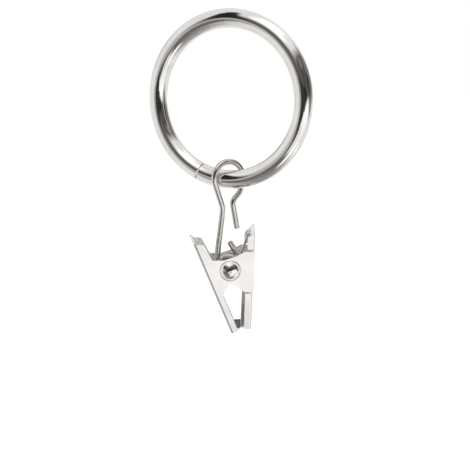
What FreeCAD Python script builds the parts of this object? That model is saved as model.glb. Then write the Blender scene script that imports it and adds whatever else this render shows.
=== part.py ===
import FreeCAD, Part
import math
import os

# Curtain ring with clip, in millimetres, +Z up. The ring lies in the XZ plane with its centre
# at the origin, and the curtain rod would pass through it along Y. A bent wire hook hangs on
# the ring's lowest point, and a sprung sheet-metal clip hangs from the hook's eye.

Vector = FreeCAD.Vector

# Ring: a round rod bent into a circle, with its two ends butted
ring_inner_diameter = 38.0
ring_wire_diameter = 5.0
seam_angle = 23.0              # from the lowest point towards -X, in degrees
seam_groove_depth = 0.2
seam_groove_width = 0.4

# Hook: one wire, with a loop over the ring and an eye round the rivet
hook_wire_diameter = 1.6
wire_end_round = 0.2
rivet_drop = 24.5              # from the middle of the ring's wire to the rivet's axis
loop_yaw = 55.0                # how far the loop is turned out of the ring's plane
loop_side_clearance = 0.35     # between the loop's sides and the ring's wire
loop_top_gap = 1.6             # above the ring's wire
loop_tuck_angle = 10.0         # how far the open side turns in before its straight run
left_waist_drop = 7.9          # below the middle of the ring's wire, on the long side
left_waist_offset = 1.8
left_waist_radius = 5.0
flare_drop = 3.6               # the open side's bends, down to its free end
flare_radius = 2.5
right_waist_drop = 6.15
right_waist_offset = 1.2
right_waist_radius = 2.0
free_end_drop = 13.8
free_end_offset = 2.7
eye_inner_diameter = 5.1
shank_lean = 6.0               # degrees from upright, where it leaves the eye
shank_lower_run = 5.0
shank_bend_radius = 20.0
tail_lean = 31.0               # degrees from upright, of the short tail inside the clip
tail_length = 5.0

# Clip: two stamped and folded jaws on one rivet
clip_yaw = 30.0                # how far the clip is turned out of the ring's plane
sheet = 0.5
bend_radius = 0.8              # outside of every fold
clip_width = 10.5              # over the outer jaw's two ears
jaw_side_clearance = 0.15      # between the outer jaw's walls and the inner jaw's
spine_offset = 6.6             # from the rivet's axis to the outside of each spine
mouth_length = 16.7            # along the spine, below the rivet
outer_handle_length = 12.5     # along the spine, above the rivet
inner_handle_length = 12.0
handle_crown = 1.9             # how much the handle's end bulges across its width
outer_jaw_lean = 22.2          # degrees from upright, top towards the left
inner_jaw_lean = -2.2
mouth_flange = 2.1
outer_handle_flange = 2.7
inner_handle_flange = 2.0
lip_slot = 0.35                # cut that frees the toothed lip from the side flanges
teeth = 3
tooth_height = 0.9
tooth_gap = 0.12               # between the two rows of teeth, with the clip shut

# Outer jaw's ears, which reach over to the inner jaw's spine
ear_top_reach = 5.35           # along the inner jaw's spine, above the rivet
ear_bottom_reach = 5.95
ear_top_lap = 2.8              # width of the ear's flat top over the inner jaw
ear_bottom_lap = 2.3
ear_shoulder_radius = 0.8      # where the flat top turns down
ear_notch_height = 3.35        # where the hook's shank leaves the clip
ear_notch_rise = 1.2           # from there up to the handle's flange
ear_notch_start = 3.15
ear_notch_end = 6.1
ear_notch_radius = 1.5
ear_foot_drop = 5.9            # where the mouth's flange widens into the ear
ear_foot_radius = 1.0
ear_heel_reach = 3.1
ear_heel_drop = 4.6
ear_heel_radius = 0.6
ear_arch_reach = 5.2           # top of the hollow between the ear and the mouth
ear_arch_drop = 3.1
ear_arch_radius = 0.9
ear_sag_reach = 9.6            # where the ear's upper edge dips, above the rivet
ear_sag_height = 3.05
ear_sag_radius = 4.0
ear_corner_radius = 0.5
bead_radius = 2.75             # raised bead pressed round the rivet hole
bead_wire_radius = 0.25
bead_height = 0.12

# Inner jaw's ears
inner_ear_radius = 3.0
inner_ear_round = 0.99         # share of that radius that rounds the ear's end
inner_ear_blend = 2.0          # height over which each flange widens into the ear
inner_ear_blend_radius = 1.0
relief_slot = 0.45             # cut across each flange beside the outer jaw's ear
relief_slot_gap = 0.1          # along the spine, from the outer jaw's ear to the slot

# Ends of the handles: the spine runs on past its flanges as a short crowned tongue
outer_flange_drop = 2.8        # from the handle's end down to the flange's full width
outer_flange_radius = 1.1
inner_flange_drop = 2.5
inner_flange_radius = 0.8
tongue_length = 2.1            # of the spine past its flanges
tongue_root_radius = 0.25

# Rivet
rivet_diameter = 2.9
rivet_running_clearance = 0.05 # to the inner jaw's holes and to the hook's eye
front_head_diameter = 4.5
front_head_height = 1.0
back_head_diameter = 4.1
back_head_height = 0.7
head_rim = 0.2

# Spring: a torsion coil round the rivet, with a leg on each handle
spring_wire_diameter = 0.85
spring_mean_diameter = 5.1
spring_coil_gap = 0.04         # at least this much between neighbouring turns
spring_points_per_turn = 14
spring_end_easing = 0.06       # share of the coil over which its pitch starts and stops
spring_side_clearance = 0.12   # to the hook's eye
spring_wall_clearance = 0.17   # to the inner jaw's back ear
spring_seat_clearance = 0.03   # between a leg and the spine that it presses on
long_leg_reach = 8.9           # along the inner jaw's spine
short_leg_reach = 4.5          # along the outer jaw's spine

# Values that follow
ring_wire_radius = ring_wire_diameter / 2
ring_centre_radius = (ring_inner_diameter + ring_wire_diameter) / 2
hook_radius = hook_wire_diameter / 2
rivet_radius = rivet_diameter / 2
eye_radius = (eye_inner_diameter + hook_wire_diameter) / 2
eye_rise = eye_inner_diameter / 2 - rivet_radius - rivet_running_clearance
half_width = clip_width / 2
inner_half_width = half_width - sheet - jaw_side_clearance
jaw_angle = outer_jaw_lean - inner_jaw_lean
rivet_height = -ring_centre_radius - rivet_drop


def turned_frame(yaw):
    """Placement with x to the right, y up and z to the front, through the rivet's axis."""
    angle = math.radians(yaw)
    c = math.cos(angle)
    s = math.sin(angle)
    matrix = FreeCAD.Matrix(c, 0, s, 0, s, 0, -c, 0, 0, 1, 0, rivet_height, 0, 0, 0, 1)
    return FreeCAD.Placement(matrix)


clip_frame = turned_frame(clip_yaw)
loop_frame = turned_frame(loop_yaw)


def corner_arc(before, corner, after, radius):
    """Where an arc of this radius enters and leaves a corner, and its middle."""
    back = (before - corner).normalize()
    ahead = (after - corner).normalize()
    half_turn = (math.pi - back.getAngle(ahead)) / 2
    reach = radius * math.tan(half_turn)
    bulge = radius / math.cos(half_turn) - radius
    middle = corner + (back + ahead).normalize() * bulge
    return corner + back * reach, middle, corner + ahead * reach


def rounded_run(points, radii):
    """Straight runs through the points, joined by tangent arcs."""
    edges = []
    start = points[0]
    for before, corner, after, radius in zip(points, points[1:], points[2:], radii):
        enter, middle, leave = corner_arc(before, corner, after, radius)
        edges.append(Part.LineSegment(start, enter).toShape())
        edges.append(Part.Arc(enter, middle, leave).toShape())
        start = leave
    edges.append(Part.LineSegment(start, points[-1]).toShape())
    return edges


def rounded_face(corners):
    """Flat face from (x, y, corner radius) triples, with radius 0 for a sharp corner."""
    points = [Vector(x, y, 0) for x, y, radius in corners]
    count = len(points)
    stops = []
    for i in range(count):
        radius = corners[i][2]
        if radius:
            stops.append(corner_arc(points[i - 1], points[i], points[(i + 1) % count], radius))
        else:
            stops.append((points[i], None, points[i]))
    edges = []
    for i in range(count):
        enter, middle, leave = stops[i]
        if middle:
            edges.append(Part.Arc(enter, middle, leave).toShape())
        edges.append(Part.LineSegment(leave, stops[(i + 1) % count][0]).toShape())
    return Part.Face(Part.Wire(edges))


def prism(face, low, high):
    """The face, drawn at z = 0, extruded from z = low to z = high."""
    moved = face.copy()
    moved.translate(Vector(0, 0, low))
    return moved.extrude(Vector(0, 0, high - low))


def round_tube(edges, radius):
    """Round wire along a path, with its two ends cut square."""
    path = Part.Wire(edges)
    first = path.Edges[0]
    start = first.valueAt(first.FirstParameter)
    heading = first.tangentAt(first.FirstParameter)
    section = Part.Wire(Part.makeCircle(radius, start, heading))
    return path.makePipeShell([section], True, False)


def ring():
    torus = Part.makeTorus(ring_centre_radius, ring_wire_radius, Vector(), Vector(0, 1, 0))
    angle = math.radians(seam_angle)
    outward = Vector(-math.sin(angle), 0, -math.cos(angle))
    along = Vector(-math.cos(angle), 0, math.sin(angle))
    centre = outward * ring_centre_radius
    half = seam_groove_width / 2
    beyond = seam_groove_depth
    spread = half * (seam_groove_depth + beyond) / seam_groove_depth
    root = centre + outward * (ring_wire_radius - seam_groove_depth)
    rim = centre + outward * (ring_wire_radius + beyond)
    section = Part.Face(Part.makePolygon([root, rim + along * spread, rim - along * spread, root]))
    return torus.cut(section.revolve(centre, along, 360))


def loop_point(across, drop):
    """Point in the loop's plane, below the middle of the ring's wire."""
    return loop_frame.multVec(Vector(across, rivet_drop - drop, 0))


def clip_point(across, up, front=0.0):
    return clip_frame.multVec(Vector(across, up, front))


def tangent_point(centre, radius, outside, side):
    """Where a line from the outside point touches the circle, on its left (-1) or right (+1)."""
    away = outside - centre
    swing = side * math.acos(radius / away.Length)
    angle = math.atan2(away.y, away.x) + swing
    return centre + Vector(math.cos(angle), math.sin(angle), 0) * radius


def hook():
    # Tail and eye, in the clip's plane, from the tail's cut end round under the rivet
    tail = math.radians(tail_lean)
    lean = math.radians(shank_lean)
    eye_centre = Vector(0, eye_rise, 0)
    tail_root = eye_centre + Vector(math.cos(tail), math.sin(tail), 0) * eye_radius
    tail_tip = tail_root + Vector(-math.sin(tail), math.cos(tail), 0) * tail_length
    shank_root = eye_centre + Vector(-math.cos(lean), math.sin(lean), 0) * eye_radius
    eye_bottom = eye_centre + Vector(0, -eye_radius, 0)
    shank_bend = shank_root + Vector(math.sin(lean), math.cos(lean), 0) * shank_lower_run

    # Loop over the ring's wire, in its own plane, measured from the middle of that wire
    loop_radius = ring_wire_radius + hook_radius + loop_side_clearance
    loop_radius = loop_radius / math.sin(math.radians(loop_yaw))
    loop_rise = ring_wire_radius + hook_radius + loop_top_gap - loop_radius
    centre = Vector(0, loop_rise, 0)
    left_waist = Vector(-left_waist_offset, -left_waist_drop, 0)
    left_start = tangent_point(centre, loop_radius, left_waist, -1)
    tuck = math.radians(loop_tuck_angle)
    right_end = centre + Vector(math.cos(tuck), -math.sin(tuck), 0) * loop_radius
    flare = right_end + Vector(-math.tan(tuck), -1, 0) * (flare_drop + right_end.y)
    top = centre + Vector(0, loop_radius, 0)

    eye_side = [clip_point(p.x, p.y) for p in (tail_tip, tail_root, eye_bottom, shank_root, shank_bend)]
    loop_side = [loop_point(p.x, -p.y) for p in (left_waist, left_start, top, right_end, flare)]
    right_waist = loop_point(right_waist_offset, right_waist_drop)
    free_end = loop_point(free_end_offset, free_end_drop)

    edges = [Part.LineSegment(eye_side[0], eye_side[1]).toShape()]
    edges.append(Part.Arc(eye_side[1], eye_side[2], eye_side[3]).toShape())
    rise = [eye_side[3], eye_side[4], loop_side[0], loop_side[1]]
    edges += rounded_run(rise, [shank_bend_radius, left_waist_radius])
    edges.append(Part.Arc(loop_side[1], loop_side[2], loop_side[3]).toShape())
    fall = [loop_side[3], loop_side[4], right_waist, free_end]
    edges += rounded_run(fall, [flare_radius, right_waist_radius])
    wire = round_tube(edges, hook_radius)
    rims = [e for e in wire.Edges if is_end_rim(e, (eye_side[0], free_end))]
    return wire.makeFillet(wire_end_round, rims)


def is_end_rim(edge, ends):
    """Whether the edge is the round rim of one of the wire's cut ends."""
    centre = edge.CenterOfMass
    return edge.Closed and any((centre - end).Length < hook_radius / 2 for end in ends)


def channel(width, depth, length_down, length_up):
    """Straight folded channel, open towards +x, with its spine's outside at x = 0."""
    inside = bend_radius - sheet
    section = rounded_face([
        (depth, -width, 0),
        (0, -width, bend_radius),
        (0, width, bend_radius),
        (depth, width, 0),
        (depth, width - sheet, 0),
        (sheet, width - sheet, inside),
        (sheet, -width + sheet, inside),
        (depth, -width + sheet, 0),
    ])
    section.rotate(Vector(), Vector(1, 0, 0), 90)
    section.translate(Vector(0, -length_down, 0))
    return section.extrude(Vector(0, length_down + length_up, 0))


def handle_crown_cut(width, length_up):
    """Solid that keeps the channel under a handle's end, which bulges across its width."""
    low = -mouth_length - 1
    deep = width + 1
    shoulder = length_up - handle_crown * (deep / width) ** 2
    start = Vector(0, shoulder, -deep)
    end = Vector(0, shoulder, deep)
    edges = [
        Part.LineSegment(Vector(0, low, -deep), start).toShape(),
        Part.Arc(start, Vector(0, length_up, 0), end).toShape(),
        Part.LineSegment(end, Vector(0, low, deep)).toShape(),
        Part.LineSegment(Vector(0, low, deep), Vector(0, low, -deep)).toShape(),
    ]
    plan = Part.Face(Part.Wire(edges))
    plan.translate(Vector(-1, 0, 0))
    return plan.extrude(Vector(4 * spine_offset, 0, 0))


def toothed_lip(width, side):
    """End of the spine bent in across the mouth, with teeth that fit the other jaw's."""
    inside = bend_radius - sheet
    fold = rounded_face([
        (0, -mouth_length + 2 * bend_radius, 0),
        (0, -mouth_length, bend_radius),
        (spine_offset, -mouth_length, 0),
        (spine_offset, -mouth_length + sheet, 0),
        (sheet, -mouth_length + sheet, inside),
        (sheet, -mouth_length + 2 * bend_radius, 0),
    ])
    lip = prism(fold, -width, width)
    return lip.cut(tooth_cutter(side))


def tooth_cutter(side):
    """All that lies beyond this jaw's row of teeth. side is +1 on the outer jaw, -1 on the inner."""
    span = half_width - sheet - lip_slot
    half_pitch = span / teeth
    points = []
    for i in range(2 * teeth + 1):
        swing = tooth_height / 2 if i % 2 else -tooth_height / 2
        points.append(Vector(side * swing - tooth_gap / 2, 0, -span + i * half_pitch))
    first = points[0]
    last = points[-1]
    beyond = half_width + 1
    outline = [Vector(first.x, 0, -beyond)] + points + [Vector(last.x, 0, beyond)]
    outline += [Vector(spine_offset, 0, beyond), Vector(spine_offset, 0, -beyond), outline[0]]
    cutter = Part.Face(Part.makePolygon(outline))
    cutter.translate(Vector(0, -2 * mouth_length, 0))
    cutter = cutter.extrude(Vector(0, 2 * mouth_length, 0))
    cutter.rotate(Vector(), Vector(0, 0, 1), -jaw_angle / 2)
    cutter.translate(Vector(spine_offset, 0, 0))
    return cutter


def folded_jaw(width, outline, length_up, side):
    """One jaw, with its spine's outside at x = 0 and the rivet's axis at x = spine_offset."""
    depth = max(x for x, y, radius in outline) + 1
    body = channel(width, depth, mouth_length, length_up)
    body = body.common(prism(rounded_face(outline), -width - 1, width + 1))
    body = body.common(handle_crown_cut(width, length_up))
    opening = width - sheet
    slot = Part.makeBox(2 * bend_radius + 1, bend_radius + 1, 2 * opening)
    slot.translate(Vector(-1, -mouth_length - 1, -opening))
    body = body.cut(slot)
    body = body.fuse(toothed_lip(opening - lip_slot, side))
    return body


def rivet_hole(radius):
    return Part.makeCylinder(radius, 2 * clip_width, Vector(spine_offset, 0, -clip_width))


def inner_spine_point(along, inward):
    """Point on the outer jaw's side plane, measured on the inner jaw's spine when it is shut."""
    angle = math.radians(jaw_angle)
    direction = Vector(math.sin(angle), math.cos(angle), 0)
    normal = Vector(math.cos(angle), -math.sin(angle), 0)
    point = Vector(spine_offset, 0, 0) + normal * (spine_offset - inward) + direction * along
    return point.x, point.y


def outer_jaw():
    """The jaw with the two large ears, which carry the rivet."""
    lower_right = inner_spine_point(-ear_bottom_reach, 0)
    lower_left = inner_spine_point(-ear_bottom_reach, ear_bottom_lap)
    upper_right = inner_spine_point(ear_top_reach, 0)
    upper_left = inner_spine_point(ear_top_reach, ear_top_lap)
    flange = outer_handle_flange
    length_up = outer_handle_length
    outline = [
        (0, -mouth_length, 0),
        (mouth_flange, -mouth_length, ear_corner_radius),
        (mouth_flange, -ear_foot_drop, ear_foot_radius),
        (ear_heel_reach, -ear_heel_drop, ear_heel_radius),
        (ear_arch_reach, -ear_arch_drop, ear_arch_radius),
        (*lower_left, ear_corner_radius),
        (*lower_right, ear_corner_radius),
        (*upper_right, ear_corner_radius),
        (*upper_left, ear_shoulder_radius),
        (ear_sag_reach, ear_sag_height, ear_sag_radius),
        (ear_notch_end, ear_notch_height, ear_notch_radius),
        (ear_notch_start, ear_notch_height + ear_notch_rise, ear_shoulder_radius),
        (flange, length_up - outer_flange_drop, outer_flange_radius),
        (bend_radius, length_up - tongue_length, tongue_root_radius),
        (sheet, length_up, 0),
        (0, length_up, 0),
    ]
    body = folded_jaw(half_width, outline, length_up, 1)
    for face in (-1, 1):
        height = face * (half_width + bead_height - bead_wire_radius)
        bead = Part.makeTorus(bead_radius, bead_wire_radius, Vector(spine_offset, 0, height))
        body = body.fuse(bead)
    return body.cut(rivet_hole(rivet_radius)).removeSplitter()


def inner_jaw():
    """The narrower jaw, whose ears run inside the outer jaw's."""
    tab = spine_offset + inner_ear_radius
    rounding = inner_ear_radius * inner_ear_round
    blend = inner_ear_blend_radius
    flange = inner_handle_flange
    length_up = inner_handle_length
    outline = [
        (0, -mouth_length, 0),
        (mouth_flange, -mouth_length, ear_corner_radius),
        (mouth_flange, -inner_ear_radius - inner_ear_blend, blend),
        (mouth_flange + inner_ear_blend, -inner_ear_radius, blend),
        (tab, -inner_ear_radius, rounding),
        (tab, inner_ear_radius, rounding),
        (flange + inner_ear_blend, inner_ear_radius, blend),
        (flange, inner_ear_radius + inner_ear_blend, blend),
        (flange, length_up - inner_flange_drop, inner_flange_radius),
        (bend_radius, length_up - tongue_length, tongue_root_radius),
        (sheet, length_up, 0),
        (0, length_up, 0),
    ]
    body = folded_jaw(inner_half_width, outline, length_up, -1)
    body = body.cut(relief_slots())
    body = body.cut(rivet_hole(rivet_radius + rivet_running_clearance)).removeSplitter()
    return body.mirror(Vector(spine_offset, 0, 0), Vector(1, 0, 0))


def relief_slots():
    """Cuts that part the inner jaw's flanges from its ears, just past the outer jaw's ears."""
    upper = ear_top_reach + relief_slot_gap
    lower = -ear_bottom_reach - relief_slot_gap - relief_slot
    slots = []
    for side in (-1, 1):
        wall = side * (inner_half_width - sheet / 2)
        for height in (upper, lower):
            slot = Part.makeBox(spine_offset, relief_slot, bend_radius)
            slot.translate(Vector(sheet, height, wall - bend_radius / 2))
            slots.append(slot)
    return slots


def domed_head(diameter, height):
    """Low dome on a short upright rim, standing on z = 0."""
    radius = diameter / 2
    rise = height - head_rim
    ball = (radius * radius + rise * rise) / (2 * rise)
    sphere = Part.makeSphere(ball, Vector(0, 0, height - ball), Vector(0, 0, 1))
    return sphere.common(Part.makeCylinder(radius, height))


def rivet():
    """Shank with a domed head in front and a lower head that is upset at the back."""
    shank = Part.makeCylinder(rivet_radius, clip_width, Vector(0, 0, -half_width))
    front = domed_head(front_head_diameter, front_head_height)
    front.translate(Vector(0, 0, half_width))
    back = domed_head(back_head_diameter, back_head_height)
    back.rotate(Vector(), Vector(1, 0, 0), 180)
    back.translate(Vector(0, 0, -half_width))
    return shank.fuse([front, back]).removeSplitter()


def coil_depth(share):
    """How far along the coil's axis a share of its turns has come, easing at both ends."""
    ease = spring_end_easing
    if share < ease:
        return share * share / (2 * ease) / (1 - ease)
    if share > 1 - ease:
        rest = 1 - share
        return 1 - rest * rest / (2 * ease) / (1 - ease)
    return (share - ease / 2) / (1 - ease)


def leg_tip(lean, side, along):
    """Middle of the wire where a leg lies against the inside of a spine."""
    angle = math.radians(lean)
    offset = spine_offset - sheet - spring_wire_diameter / 2 - spring_seat_clearance
    inward = Vector(-side * math.cos(angle), -side * math.sin(angle), 0)
    upward = Vector(-math.sin(angle), math.cos(angle), 0)
    return inward * -offset + upward * along


def spring():
    """Torsion coil, counter-clockwise from the short leg in front to the long leg behind."""
    radius = spring_mean_diameter / 2
    wire = spring_wire_diameter / 2
    short_tip = leg_tip(outer_jaw_lean, -1, short_leg_reach)
    long_tip = leg_tip(inner_jaw_lean, 1, long_leg_reach)
    short_root = tangent_point(Vector(), radius, short_tip, 1)
    long_root = tangent_point(Vector(), radius, long_tip, -1)
    start = math.atan2(short_root.y, short_root.x)
    end = math.atan2(long_root.y, long_root.x)
    part_turn = (end - start) / (2 * math.pi) % 1
    front = -hook_radius - spring_side_clearance - wire
    back = -inner_half_width + sheet + spring_wall_clearance + wire
    depth = front - back
    whole_turns = math.floor(depth / (spring_wire_diameter + spring_coil_gap) - part_turn)
    sweep = 2 * math.pi * (whole_turns + part_turn)
    steps = spring_points_per_turn * (whole_turns + 1)
    points = []
    for i in range(steps + 1):
        share = i / steps
        angle = start + sweep * share
        z = front - depth * coil_depth(share)
        points.append(Vector(radius * math.cos(angle), radius * math.sin(angle), z))
    ends = (turn_tangent(start), turn_tangent(end))
    coil = Part.BSplineCurve()
    coil.interpolate(Points=points, InitialTangent=ends[0], FinalTangent=ends[1], Scale=False)
    short_tip.z = points[0].z
    long_tip.z = points[-1].z
    edges = [
        Part.LineSegment(short_tip, points[0]).toShape(),
        coil.toShape(),
        Part.LineSegment(points[-1], long_tip).toShape(),
    ]
    return round_tube(edges, wire)


def turn_tangent(angle):
    return Vector(-math.sin(angle), math.cos(angle), 0)


def on_clip(shape, lean):
    """Moves a jaw from its own frame to the clip's, leaning about the rivet's axis."""
    placed = shape.copy()
    placed.translate(Vector(-spine_offset, 0, 0))
    placed.rotate(Vector(), Vector(0, 0, 1), lean)
    return in_frame(placed)


def in_frame(shape):
    placed = shape.copy()
    placed.transformShape(clip_frame.toMatrix())
    return placed


pieces = {
    "ring": ring(),
    "hook": hook(),
    "outer_jaw": on_clip(outer_jaw(), outer_jaw_lean),
    "inner_jaw": on_clip(inner_jaw(), inner_jaw_lean),
    "rivet": in_frame(rivet()),
    "spring": in_frame(spring()),
}

os.makedirs("parts", exist_ok=True)
for name, shape in pieces.items():
    solid = shape.Solids[0]
    solid.exportStep("parts/" + name + ".step")
    box = solid.BoundBox
    low = (round(box.XMin, 2), round(box.YMin, 2), round(box.ZMin, 2))
    high = (round(box.XMax, 2), round(box.YMax, 2), round(box.ZMax, 2))
    print(name, len(shape.Solids), "solid, volume", round(solid.Volume, 2), low, high, solid.isValid())
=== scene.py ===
import bpy
import math
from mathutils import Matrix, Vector


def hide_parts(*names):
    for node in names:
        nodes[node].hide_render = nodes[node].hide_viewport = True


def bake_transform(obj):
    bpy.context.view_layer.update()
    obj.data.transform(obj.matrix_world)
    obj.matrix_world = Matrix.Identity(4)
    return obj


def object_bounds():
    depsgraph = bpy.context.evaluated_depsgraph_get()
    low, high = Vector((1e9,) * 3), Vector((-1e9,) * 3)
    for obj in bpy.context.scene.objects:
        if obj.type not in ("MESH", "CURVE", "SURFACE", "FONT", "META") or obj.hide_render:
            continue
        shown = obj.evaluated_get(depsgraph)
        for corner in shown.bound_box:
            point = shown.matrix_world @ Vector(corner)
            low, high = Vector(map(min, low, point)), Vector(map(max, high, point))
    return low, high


# Curtain ring with clip: a plated steel ring, a wire hook and a sprung sheet-metal clip.
# Lengths in the code are in millimetres and become metres where a mesh is made.

mm = 0.001
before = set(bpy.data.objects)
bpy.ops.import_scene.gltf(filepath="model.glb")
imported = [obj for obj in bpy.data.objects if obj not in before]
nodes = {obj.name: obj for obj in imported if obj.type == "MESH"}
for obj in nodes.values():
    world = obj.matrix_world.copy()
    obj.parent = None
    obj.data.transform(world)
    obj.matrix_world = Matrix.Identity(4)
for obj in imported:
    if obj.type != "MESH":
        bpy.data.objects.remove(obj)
cadLow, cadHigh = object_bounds()
print("frame loaded:", ", ".join(sorted(nodes)))


def hexColour(code, alpha=1.0):
    # sRGB hex to the linear values that a shader wants
    parts = [int(code[i:i + 2], 16) / 255 for i in (1, 3, 5)]
    linear = [c / 12.92 if c <= 0.04045 else ((c + 0.055) / 1.055) ** 2.4 for c in parts]
    return (*linear, alpha)


def addNode(tree, kind, settings=None, inputs=None):
    # One node with its settings, and its inputs by name or number, as values or as (node, output) links
    node = tree.nodes.new(kind)
    for name, value in (settings or {}).items():
        setattr(node, name, value)
    for name, value in (inputs or {}).items():
        socket = node.inputs[name]
        if isinstance(value, tuple) and isinstance(value[0], bpy.types.Node):
            tree.links.new(value[0].outputs[value[1]], socket)
        else:
            socket.default_value = value
    return node


def newMaterial(name):
    material = bpy.data.materials.new(name)
    material.use_nodes = True
    material.node_tree.nodes.clear()
    return material, material.node_tree


def setRamp(node, stops):
    # Colour stops of a ramp as (position, hex)
    elements = node.color_ramp.elements
    while len(elements) < len(stops):
        elements.new(0.5)
    for element, (position, code) in zip(elements, stops):
        element.position = position
        element.color = hexColour(code)


# Finish of each metal: tone of the plate and of its duller patches, roughness from bright to hazy, and the size and
# depth in mm of the plating's faint waves and of its fine marks.
# Inner is a paler tone painted into a fold as painted light, standing in for the light that bounces in there, and
# satin is its roughness.
finishes = {
    "platedRod": {"tone": "#e4e2df", "dull": "#d6d3cf", "bright": 0.05, "hazy": 0.12,
                  "wave": 2.6, "waveDepth": 0.0025, "mark": 0.22, "markDepth": 0.0006},
    "platedWire": {"tone": "#cecbc7", "dull": "#aeaaa5", "bright": 0.05, "hazy": 0.1,
                   "wave": 1.2, "waveDepth": 0.002, "mark": 0.12, "markDepth": 0.0004},
    "platedSheet": {"tone": "#e0dedc", "dull": "#d8d5d2", "bright": 0.13, "hazy": 0.24,
                    "wave": 3.2, "waveDepth": 0.004, "mark": 0.16, "markDepth": 0.0010,
                    # inner: paler tone painted inside the fold as painted light
                    "inner": "#f8f7f6", "satin": 0.55},
    "platedRivet": {"tone": "#e6e3de", "dull": "#cbc6bf", "bright": 0.08, "hazy": 0.18,
                    "wave": 1.0, "waveDepth": 0.002, "mark": 0.10, "markDepth": 0.0006},
    "springSteel": {"tone": "#d8d5d0", "dull": "#b9b4ad", "bright": 0.14, "hazy": 0.28,
                    "wave": 0.9, "waveDepth": 0.002, "mark": 0.10, "markDepth": 0.0005},
}
# Hazy patches: their size in waves, and the part of the noise over which they come in
patch = {"waves": 4, "low": 0.35, "high": 0.75}

# Where the clip hangs, in mm and degrees: its rivet below the ring's middle, how far it is turned from the ring, and
# the heights between which the painted light inside its jaws fades out
clip = {"rivetDrop": 46.0, "facing": 30.0, "paintedLightFrom": -50.0, "paintedLightTo": -60.0}
# Where the inside of each folded jaw begins, in mm from the rivet's middle: out to its side walls and out to its
# spine, with the side and lean in degrees of that spine
folds = {
    "outer_jaw": {"wall": 5.0, "spine": 6.35, "side": -1, "lean": 22.2},
    "inner_jaw": {"wall": 4.35, "spine": 6.35, "side": 1, "lean": -2.2},
}


def paintedInnerLightMask(tree, place, fold):
    # Mask of the painted light inside a jaw: 1 on the faces between its walls, 0 on its outside
    facing, lean, side = math.radians(clip["facing"]), math.radians(fold["lean"]), fold["side"]
    acrossClip = (math.sin(facing), -math.cos(facing), 0.0)
    outOfSpine = (side * math.cos(lean) * math.cos(facing), side * math.cos(lean) * math.sin(facing),
                  side * math.sin(lean))
    across = addNode(tree, "ShaderNodeVectorMath", {"operation": "DOT_PRODUCT"}, {
        0: (place, "Object"), 1: acrossClip})
    either = addNode(tree, "ShaderNodeMath", {"operation": "ABSOLUTE"}, {0: (across, "Value")})
    withinWalls = addNode(tree, "ShaderNodeMath", {"operation": "LESS_THAN"}, {
        0: (either, 0), 1: fold["wall"] * mm})
    out = addNode(tree, "ShaderNodeVectorMath", {"operation": "DOT_PRODUCT"}, {
        0: (place, "Object"), 1: outOfSpine})
    reach = fold["spine"] - side * math.sin(lean) * clip["rivetDrop"]
    withinSpine = addNode(tree, "ShaderNodeMath", {"operation": "LESS_THAN"}, {
        0: (out, "Value"), 1: reach * mm})
    inside = addNode(tree, "ShaderNodeMath", {"operation": "MULTIPLY"}, {
        0: (withinWalls, 0), 1: (withinSpine, 0)})
    # Towards the lips the painted light inside fades out
    height = addNode(tree, "ShaderNodeSeparateXYZ", None, {"Vector": (place, "Object")})
    pale = addNode(tree, "ShaderNodeMapRange", None, {
        "Value": (height, "Z"), "From Min": clip["paintedLightTo"] * mm, "From Max": clip["paintedLightFrom"] * mm})
    return addNode(tree, "ShaderNodeMath", {"operation": "MULTIPLY"}, {0: (inside, 0), 1: (pale, 0)})


def platedMetal(name, fold=None):
    # Bright nickel plate: almost a mirror, with faint waves, hazy patches and fine handling marks.
    # The inside of a fold is painted paler, as painted light standing in for the light that bounces into it, and is
    # made satin.
    finish = finishes[name]
    material, tree = newMaterial(name)
    place = addNode(tree, "ShaderNodeTexCoord")
    patches = addNode(tree, "ShaderNodeTexNoise", None, {
        "Vector": (place, "Object"), "Scale": 1 / (patch["waves"] * finish["wave"] * mm),
        "Detail": 4.0, "Roughness": 0.6})
    tone = addNode(tree, "ShaderNodeValToRGB", None, {"Fac": (patches, "Fac")})
    setRamp(tone, [(patch["low"], finish["tone"]), (patch["high"], finish["dull"])])
    gloss = addNode(tree, "ShaderNodeMapRange", None, {
        "Value": (patches, "Fac"), "From Min": patch["low"], "From Max": patch["high"],
        "To Min": finish["bright"], "To Max": finish["hazy"]})
    waves = addNode(tree, "ShaderNodeTexNoise", None, {
        "Vector": (place, "Object"), "Scale": 1 / (finish["wave"] * mm), "Detail": 2.0})
    marks = addNode(tree, "ShaderNodeTexNoise", None, {
        "Vector": (place, "Object"), "Scale": 1 / (finish["mark"] * mm), "Detail": 3.0})
    waved = addNode(tree, "ShaderNodeBump", None, {
        "Height": (waves, "Fac"), "Strength": 1.0, "Distance": finish["waveDepth"] * mm})
    marked = addNode(tree, "ShaderNodeBump", None, {
        "Height": (marks, "Fac"), "Strength": 1.0, "Distance": finish["markDepth"] * mm,
        "Normal": (waved, "Normal")})
    colour, roughness = (tone, "Color"), (gloss, "Result")
    if fold:
        # Painted light: the inside of the fold is mixed towards the paler inner tone
        inside = paintedInnerLightMask(tree, place, fold)
        # Inputs 6 and 7 and output 2 of a Mix node are its colours
        colour = (addNode(tree, "ShaderNodeMix", {"data_type": "RGBA"}, {
            0: (inside, 0), 6: (tone, "Color"), 7: hexColour(finish["inner"])}), 2)
        roughness = (addNode(tree, "ShaderNodeMapRange", None, {
            "Value": (inside, 0), "To Min": (gloss, "Result"), "To Max": finish["satin"]}), 0)
    shader = addNode(tree, "ShaderNodeBsdfPrincipled", None, {
        "Base Color": colour, "Metallic": 1.0, "Roughness": roughness, "Normal": (marked, "Normal")})
    addNode(tree, "ShaderNodeOutputMaterial", None, {"Surface": (shader, "BSDF")})
    return material


def dress(name, material):
    # Gives a CAD node its finish
    slots = nodes[name].data.materials
    slots.clear()
    slots.append(material)


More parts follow.
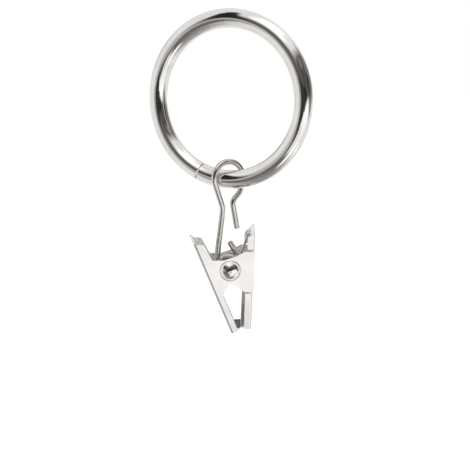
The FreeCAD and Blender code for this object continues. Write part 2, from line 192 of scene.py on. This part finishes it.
rodPlate = platedMetal("platedRod")
wirePlate = platedMetal("platedWire")
outerPlate = platedMetal("platedSheet", folds["outer_jaw"])
innerPlate = platedMetal("platedSheet", folds["inner_jaw"])
rivetPlate = platedMetal("platedRivet")
springPlate = platedMetal("springSteel")
dress("ring", rodPlate)
dress("hook", wirePlate)
dress("outer_jaw", outerPlate)
dress("inner_jaw", innerPlate)
dress("rivet", rivetPlate)
print("metals made:", len(finishes))

# Torsion spring: bright wire, coiled round the rivet behind the hook's eye, with a leg against each jaw's spine.
# Places are in the clip's own frame in mm: across, up and towards the front, from the middle of the rivet. Easing is
# the share of the coil that bends in and out of its pitch, tipShare the wire's radius left at a cut tip.
spring = {"coilRadius": 2.55, "wireRadius": 0.425, "front": -1.345, "back": -3.505, "startAngle": -127.05,
          "sweep": 826.5, "easing": 0.06, "shortTip": (-6.927, 2.033), "longTip": (5.983, 8.677),
          "cutBevel": 0.07, "tipShare": 0.84, "sharpAngle": 40.0, "pointsPerTurn": 48, "pointsAround": 20}


def coilTree(material):
    # A wire from one tip, round a coil that eases in and out of its pitch, to the other tip
    tree = bpy.data.node_groups.new("torsionSpring", "GeometryNodeTree")
    sockets = {
        "NodeSocketGeometry": ("Geometry",),
        "NodeSocketFloat": ("Coil Radius", "Wire Radius", "Front", "Back", "Start Angle", "Sweep", "Easing",
                            "Tip Share"),
        "NodeSocketInt": ("Coil Steps", "Points Around"),
        "NodeSocketVector": ("Short Tip", "Short Bevel", "Long Bevel", "Long Tip", "Turned", "Moved"),
    }
    for kind, names in sockets.items():
        for name in names:
            tree.interface.new_socket(name, in_out="INPUT", socket_type=kind)
    tree.interface.new_socket("Geometry", in_out="OUTPUT", socket_type="NodeSocketGeometry")
    given = addNode(tree, "NodeGroupInput")
    index = addNode(tree, "GeometryNodeInputIndex")
    # Two points of the short leg, the coil's steps and its last point, and two of the long leg
    count = addNode(tree, "ShaderNodeMath", {"operation": "ADD"}, {0: (given, "Coil Steps"), 1: 5.0})
    line = addNode(tree, "GeometryNodeMeshLine", None, {"Count": (count, 0)})
    onCoil = addNode(tree, "ShaderNodeMath", {"operation": "SUBTRACT"}, {0: (index, 0), 1: 2.0})
    share = addNode(tree, "ShaderNodeMath", {"operation": "DIVIDE"}, {0: (onCoil, 0), 1: (given, "Coil Steps")})
    angle = addNode(tree, "ShaderNodeMath", {"operation": "MULTIPLY_ADD"}, {
        0: (share, 0), 1: (given, "Sweep"), 2: (given, "Start Angle")})
    cosine = addNode(tree, "ShaderNodeMath", {"operation": "COSINE"}, {0: (angle, 0)})
    sine = addNode(tree, "ShaderNodeMath", {"operation": "SINE"}, {0: (angle, 0)})
    across = addNode(tree, "ShaderNodeMath", {"operation": "MULTIPLY"}, {0: (cosine, 0), 1: (given, "Coil Radius")})
    up = addNode(tree, "ShaderNodeMath", {"operation": "MULTIPLY"}, {0: (sine, 0), 1: (given, "Coil Radius")})
    # Share of the depth: share - easing / 2 + (early ^ 2 - late ^ 2) / (2 easing), over 1 - easing
    before = addNode(tree, "ShaderNodeMath", {"operation": "SUBTRACT"}, {0: (given, "Easing"), 1: (share, 0)})
    early = addNode(tree, "ShaderNodeMath", {"operation": "MAXIMUM"}, {0: (before, 0), 1: 0.0})
    rest = addNode(tree, "ShaderNodeMath", {"operation": "SUBTRACT"}, {0: 1.0, 1: (given, "Easing")})
    after = addNode(tree, "ShaderNodeMath", {"operation": "SUBTRACT"}, {0: (share, 0), 1: (rest, 0)})
    late = addNode(tree, "ShaderNodeMath", {"operation": "MAXIMUM"}, {0: (after, 0), 1: 0.0})
    earlySquare = addNode(tree, "ShaderNodeMath", {"operation": "MULTIPLY"}, {0: (early, 0), 1: (early, 0)})
    lateSquare = addNode(tree, "ShaderNodeMath", {"operation": "MULTIPLY"}, {0: (late, 0), 1: (late, 0)})
    bend = addNode(tree, "ShaderNodeMath", {"operation": "SUBTRACT"}, {0: (earlySquare, 0), 1: (lateSquare, 0)})
    double = addNode(tree, "ShaderNodeMath", {"operation": "MULTIPLY"}, {0: (given, "Easing"), 1: 2.0})
    curved = addNode(tree, "ShaderNodeMath", {"operation": "DIVIDE"}, {0: (bend, 0), 1: (double, 0)})
    lag = addNode(tree, "ShaderNodeMath", {"operation": "MULTIPLY_ADD"}, {
        0: (given, "Easing"), 1: -0.5, 2: (share, 0)})
    summed = addNode(tree, "ShaderNodeMath", {"operation": "ADD"}, {0: (lag, 0), 1: (curved, 0)})
    eased = addNode(tree, "ShaderNodeMath", {"operation": "DIVIDE"}, {0: (summed, 0), 1: (rest, 0)})
    depth = addNode(tree, "ShaderNodeMapRange", {"clamp": False}, {
        "Value": (eased, 0), "To Min": (given, "Front"), "To Max": (given, "Back")})
    place = addNode(tree, "ShaderNodeCombineXYZ", None, {"X": (across, 0), "Y": (up, 0), "Z": (depth, 0)})
    wire = addNode(tree, "GeometryNodeSetPosition", None, {"Geometry": (line, 0), "Position": (place, 0)})
    # The legs' points, counted from either end
    fromEnd = addNode(tree, "ShaderNodeMath", {"operation": "SUBTRACT"}, {0: (index, 0), 1: (count, 0)})
    for name, counter, at in (("Short Tip", index, 0.0), ("Short Bevel", index, 1.0),
                              ("Long Bevel", fromEnd, -2.0), ("Long Tip", fromEnd, -1.0)):
        here = addNode(tree, "ShaderNodeMath", {"operation": "COMPARE"}, {0: (counter, 0), 1: at, 2: 0.1})
        wire = addNode(tree, "GeometryNodeSetPosition", None, {
            "Geometry": (wire, 0), "Selection": (here, 0), "Position": (given, name)})
    path = addNode(tree, "GeometryNodeMeshToCurve", None, {"Mesh": (wire, 0)})
    tips = addNode(tree, "GeometryNodeCurveEndpointSelection", None, {"Start Size": 1, "End Size": 1})
    thickness = addNode(tree, "GeometryNodeSwitch", {"input_type": "FLOAT"}, {
        "Switch": (tips, 0), "False": 1.0, "True": (given, "Tip Share")})
    sized = addNode(tree, "GeometryNodeSetCurveRadius", None, {"Curve": (path, 0), "Radius": (thickness, 0)})
    section = addNode(tree, "GeometryNodeCurvePrimitiveCircle", None, {
        "Resolution": (given, "Points Around"), "Radius": (given, "Wire Radius")})
    tube = addNode(tree, "GeometryNodeCurveToMesh", None, {
        "Curve": (sized, 0), "Profile Curve": (section, 0), "Fill Caps": True})
    if "Scale" in tube.inputs:
        tree.links.new(thickness.outputs[0], tube.inputs["Scale"])
    placed = addNode(tree, "GeometryNodeTransform", None, {
        "Geometry": (tube, 0), "Rotation": (given, "Turned"), "Translation": (given, "Moved")})
    real = addNode(tree, "GeometryNodeRealizeInstances", None, {"Geometry": (placed, 0)})
    dressed = addNode(tree, "GeometryNodeSetMaterial", None, {"Geometry": (real, 0), "Material": material})
    addNode(tree, "NodeGroupOutput", None, {"Geometry": (dressed, 0)})
    return tree


def makeSpring():
    facing = math.radians(clip["facing"])
    startAngle = math.radians(spring["startAngle"])
    endAngle = math.radians(spring["startAngle"] + spring["sweep"])
    ends = []
    for tipName, depth, angle in (("shortTip", "front", startAngle), ("longTip", "back", endAngle)):
        tip = Vector((*spring[tipName], spring[depth])) * mm
        root = Vector((math.cos(angle), math.sin(angle), 0)) * spring["coilRadius"] * mm
        root.z = tip.z
        ends.append((tip, tip + (root - tip).normalized() * spring["cutBevel"] * mm))
    (shortTip, shortBevel), (longTip, longBevel) = ends
    values = {
        "Coil Radius": spring["coilRadius"] * mm, "Wire Radius": spring["wireRadius"] * mm,
        "Front": spring["front"] * mm, "Back": spring["back"] * mm,
        "Start Angle": startAngle, "Sweep": endAngle - startAngle,
        "Easing": spring["easing"], "Tip Share": spring["tipShare"],
        "Coil Steps": round(spring["pointsPerTurn"] * spring["sweep"] / 360),
        "Points Around": spring["pointsAround"],
        "Short Tip": shortTip, "Short Bevel": shortBevel, "Long Bevel": longBevel, "Long Tip": longTip,
        "Turned": (math.radians(90), 0.0, facing), "Moved": (0.0, 0.0, -clip["rivetDrop"] * mm),
    }
    tree = coilTree(springPlate)
    piece = bpy.data.objects.new("spring_wire", bpy.data.meshes.new("springWire"))
    bpy.context.scene.collection.objects.link(piece)
    modifier = piece.modifiers.new("coil", "NODES")
    modifier.node_group = tree
    for socket in tree.interface.items_tree:
        if socket.in_out == "INPUT" and socket.name in values:
            modifier[socket.identifier] = values[socket.name]
    bpy.context.view_layer.update()
    evaluated = piece.evaluated_get(bpy.context.evaluated_depsgraph_get())
    mesh = bpy.data.meshes.new_from_object(evaluated)
    piece.modifiers.clear()
    piece.data = mesh
    mesh.set_sharp_from_angle(angle=math.radians(spring["sharpAngle"]))
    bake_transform(piece)
    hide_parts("spring")
    return piece


springWire = makeSpring()
print("spring made:", len(springWire.data.polygons), "faces")

# Camera at the photograph's angle, in degrees and mm, with its frame in pixels
shot = {"azimuth": 24.3, "elevation": 11.0, "distance": 250.0, "nearest": 10.0, "across": 1.78, "height": -37.0,
        "pixelsPerMm": 3.608, "frame": 470, "sensor": 36.0}
turn = math.radians(shot["azimuth"])
lift = math.radians(shot["elevation"])
towardCamera = Vector((math.sin(turn) * math.cos(lift), -math.cos(turn) * math.cos(lift), math.sin(lift)))
rightward = Vector((math.cos(turn), math.sin(turn), 0))
aim = (rightward * shot["across"] + Vector((0, 0, shot["height"]))) * mm
cameraData = bpy.data.cameras.new("camera")
cameraData.sensor_width = shot["sensor"]
cameraData.lens = shot["pixelsPerMm"] * shot["distance"] * shot["sensor"] / shot["frame"]
cameraData.clip_start = shot["nearest"] * mm
camera = bpy.data.objects.new("camera", cameraData)
camera.location = aim + towardCamera * shot["distance"] * mm
camera.rotation_mode = "QUATERNION"
camera.rotation_quaternion = (-towardCamera).to_track_quat("-Z", "Y")
bpy.context.scene.collection.objects.link(camera)
bpy.context.scene.camera = camera

# Studio: white surroundings, a pale floor below the hanging part, and boards for the metal to show.
# The farthest board is at boardReach, and each next one is boardStep nearer.
studio = {"world": 0.95, "floorDrop": 60.0, "floorReach": 3000.0, "floorLift": 0.25,
          "boardReach": 1500.0, "boardStep": 25.0, "boardRings": 32, "boardSpokes": 96, "squareness": 2.5}


def seenDirectly(tree):
    # 1 for camera, glossy and transmission rays, 0 for the light that the surroundings give
    path = addNode(tree, "ShaderNodeLightPath")
    shown = addNode(tree, "ShaderNodeMath", {"operation": "MAXIMUM"}, {
        0: (path, "Is Camera Ray"), 1: (path, "Is Glossy Ray")})
    return addNode(tree, "ShaderNodeMath", {"operation": "MAXIMUM"}, {
        0: (shown, "Value"), 1: (path, "Is Transmission Ray")})


def makeWorld():
    world = bpy.data.worlds.new("studioWhite")
    world.use_nodes = True
    tree = world.node_tree
    tree.nodes.clear()
    direct = seenDirectly(tree)
    strength = addNode(tree, "ShaderNodeMapRange", None, {
        "Value": (direct, "Value"), "To Min": studio["world"], "To Max": 1.0})
    light = addNode(tree, "ShaderNodeBackground", None, {
        "Color": hexColour("#ffffff"), "Strength": (strength, "Result")})
    addNode(tree, "ShaderNodeOutputWorld", None, {"Surface": (light, "Background")})
    bpy.context.scene.world = world


def makeFloor():
    low = cadLow.z - studio["floorDrop"] * mm
    reach = studio["floorReach"] * mm
    corners = [(-reach, -reach, low), (reach, -reach, low), (reach, reach, low), (-reach, reach, low)]
    mesh = bpy.data.meshes.new("floor")
    mesh.from_pydata(corners, [], [(0, 1, 2, 3)])
    floor = bpy.data.objects.new("floor", mesh)
    bpy.context.scene.collection.objects.link(floor)
    # White card: plain matt white that keeps the shadow, lifted to white where it is seen directly
    material, tree = newMaterial("whiteCard")
    matt = addNode(tree, "ShaderNodeBsdfDiffuse", None, {"Color": hexColour("#f4f4f4")})
    direct = seenDirectly(tree)
    lifted = addNode(tree, "ShaderNodeMath", {"operation": "MULTIPLY"}, {
        0: (direct, "Value"), 1: studio["floorLift"]})
    glow = addNode(tree, "ShaderNodeEmission", None, {"Color": hexColour("#ffffff"), "Strength": (lifted, "Value")})
    both = addNode(tree, "ShaderNodeAddShader", None, {0: (matt, "BSDF"), 1: (glow, "Emission")})
    addNode(tree, "ShaderNodeOutputMaterial", None, {"Surface": (both, "Shader")})
    mesh.materials.append(material)
    floor.visible_glossy = False  # the boards below stand in for it


# Felts and white boards for the metal alone to show, each a rounded shape seen from the part. Toward is its azimuth
# and elevation, half its two half widths and turned its roll, all in degrees. Edge is the share of its width that
# fades out and glow its brightness, both as in usualBoard where a board doesn't say. The first is the farthest.
usualBoard = {"edge": 0.35, "glow": 1.0}
boards = {
    "sideWall": {"toward": (80.5, 20.5), "half": (92.5, 27.5), "turned": 6.5, "tone": "#5b5957"},
    "highWhite": {"toward": (13, 54), "half": (77.5, 17), "turned": 63.5, "tone": "#ffffff", "glow": 1.5},
    "lowVeil": {"toward": (2, -44.5), "half": (52.5, 19), "turned": -41, "tone": "#6a6866"},
    "frontVeil": {"toward": (-2, 14), "half": (44, 32), "turned": -20, "tone": "#6c6a68", "edge": 0.6},
    "topFlag": {"toward": (-30.5, 36.5), "half": (8.5, 42.5), "turned": 13, "tone": "#2c2a28"},
    "lowWhite": {"toward": (134, -54.5), "half": (31.5, 17), "turned": 6.5, "tone": "#ffffff", "glow": 1.5},
    "lensFlag": {"toward": (22.5, -2.5), "half": (44.5, 9.5), "turned": 10, "tone": "#211f1d"},
    "sideVeil": {"toward": (116, 12.5), "half": (43, 23.5), "turned": 41.5, "tone": "#898785"},
    "middleWhite": {"toward": (68.5, -18), "half": (27, 20), "turned": 15, "tone": "#ffffff", "glow": 1.25},
    "smallVeil": {"toward": (71, 32.5), "half": (20.5, 6), "turned": 15, "tone": "#8c8a88"},
    "underVeil": {"toward": (33.5, -84), "half": (69.5, 35), "turned": -33, "tone": "#a2a09e", "edge": 0.73},
    "lowStrip": {"toward": (64, -13), "half": (29, 7), "turned": -11, "tone": "#ffffff", "glow": 1.4},
    "lensStrip": {"toward": (19.5, -2), "half": (31, 11.5), "turned": -4.5, "tone": "#3e3c3a"},
    "highStrip": {"toward": (26.5, 53.5), "half": (22.5, 6.5), "turned": 2, "tone": "#ffffff", "glow": 1.4},
    "sideStrip": {"toward": (103, 12), "half": (15, 13.5), "turned": 5, "tone": "#3f3d3b"},
    "backFlag": {"toward": (-150, 12), "half": (42, 13), "turned": 6, "tone": "#5c5a58", "edge": 0.5},
    "turnFlag": {"toward": (5, -18), "half": (15, 6), "turned": 12, "tone": "#33312f", "edge": 0.3},
    "endWhite": {"toward": (47, -47), "half": (18, 13), "turned": 28, "tone": "#ffffff", "edge": 0.3, "glow": 1.4},
    "clipWhite": {"toward": (35, -14), "half": (8.5, 6), "turned": 0.5, "tone": "#ffffff", "edge": 0.19,
                  "glow": 1.32},
}


def makeBoard(name, reach):
    board = usualBoard | boards[name]
    rings, spokes, squareness = studio["boardRings"], studio["boardSpokes"], studio["squareness"]
    swing, rise, roll = (math.radians(v) for v in (*board["toward"], board["turned"]))
    centre = Vector((math.sin(swing) * math.cos(rise), -math.cos(swing) * math.cos(rise), math.sin(rise)))
    level = Vector((math.cos(swing), math.sin(swing), 0))
    upright = centre.cross(level)
    halfAcross, halfUp = board["half"]
    points, faces, cover = [centre * reach * mm], [], [1.0]
    for i in range(1, rings + 1):
        for j in range(spokes):
            around = math.tau * j / spokes
            # Rim between an oval and a rectangle
            rim = ((abs(math.cos(around)) / halfAcross) ** squareness
                   + (abs(math.sin(around)) / halfUp) ** squareness) ** (-1 / squareness)
            off = math.radians(rim * i / rings)
            outward = level * math.cos(around + roll) + upright * math.sin(around + roll)
            points.append((centre * math.cos(off) + outward * math.sin(off)) * reach * mm)
            cover.append(min(1.0, (1 - i / rings) / board["edge"]))
    for j in range(spokes):
        following = (j + 1) % spokes
        faces.append((0, 1 + j, 1 + following))
        for i in range(rings - 1):
            inner, outer = 1 + i * spokes, 1 + (i + 1) * spokes
            faces.append((inner + j, outer + j, outer + following, inner + following))
    mesh = bpy.data.meshes.new(name)
    mesh.from_pydata(points, [], faces)
    attribute = mesh.attributes.new("cover", "FLOAT", "POINT")
    attribute.data.foreach_set("value", cover)
    sheet = bpy.data.objects.new(name, mesh)
    bpy.context.scene.collection.objects.link(sheet)
    # Felt or white board that fades out at its rim, seen only in the metal
    material, tree = newMaterial(name + "Board")
    covered = addNode(tree, "ShaderNodeAttribute", {"attribute_name": "cover"})
    path = addNode(tree, "ShaderNodeLightPath")
    # Only the first reflection: metal that shows in other metal gets the plain white surroundings
    first = addNode(tree, "ShaderNodeMath", {"operation": "LESS_THAN"}, {0: (path, "Glossy Depth"), 1: 1.5})
    amount = addNode(tree, "ShaderNodeMath", {"operation": "MULTIPLY"}, {0: (covered, "Fac"), 1: (first, "Value")})
    shown = addNode(tree, "ShaderNodeEmission", None, {"Color": hexColour(board["tone"]), "Strength": board["glow"]})
    clear = addNode(tree, "ShaderNodeBsdfTransparent")
    mixed = addNode(tree, "ShaderNodeMixShader", None, {
        0: (amount, "Value"), 1: (clear, "BSDF"), 2: (shown, "Emission")})
    addNode(tree, "ShaderNodeOutputMaterial", None, {"Surface": (mixed, "Shader")})
    mesh.materials.append(material)
    sheet.visible_camera = False
    sheet.visible_diffuse = False
    sheet.visible_shadow = False
    sheet.visible_transmission = False


makeWorld()
makeFloor()
for i, name in enumerate(boards):
    makeBoard(name, studio["boardReach"] - i * studio["boardStep"])

# One large soft lamp above, to the left of the lens: its clock place and its angle off the lens, in degrees
lamp = {"power": 0.6, "size": 300.0, "distance": 450.0, "clock": -60.0, "angle": 60.0}
lampData = bpy.data.lights.new("softbox", "AREA")
lampData.energy = lamp["power"]
lampData.shape = "SQUARE"
lampData.size = lamp["size"] * mm
softbox = bpy.data.objects.new("softbox", lampData)
clock = math.radians(lamp["clock"])
off = math.radians(lamp["angle"])
upward = towardCamera.cross(rightward)
sideways = upward * math.cos(clock) + rightward * math.sin(clock)
lampDirection = towardCamera * math.cos(off) + sideways * math.sin(off)
softbox.location = aim + lampDirection * lamp["distance"] * mm
softbox.rotation_mode = "QUATERNION"
softbox.rotation_quaternion = lampDirection.to_track_quat("Z", "Y")
softbox.visible_glossy = False
bpy.context.scene.collection.objects.link(softbox)
bpy.context.scene.view_settings.view_transform = "Standard"
print("studio set, boards:", len(boards))
